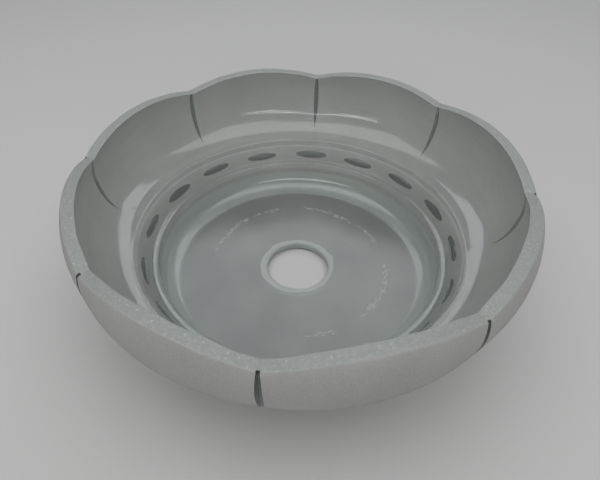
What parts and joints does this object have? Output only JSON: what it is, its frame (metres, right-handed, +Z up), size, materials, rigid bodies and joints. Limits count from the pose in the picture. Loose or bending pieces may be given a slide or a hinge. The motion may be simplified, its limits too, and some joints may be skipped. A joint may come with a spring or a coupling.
{
  "type": "glass bowl",
  "caption": "Shallow stepped bowl of frosted glass with an arched rim, cut grooves and ovals outside, and a round hole in its floor.",
  "frame": {"origin": "centre of the flat ring that the bowl stands on", "axes": "+Z up along the bowl's axis, out of its mouth; +X towards one notch of the rim"},
  "size_m": [0.2696, 0.2696, 0.0895],
  "materials": {
    "frosted_glass": "acid frosted outside, satin inside, clear polished cuts"
  },
  "bodies": {
    "root": {"glass_bowl": "frosted_glass"}
  },
  "joints": []
}
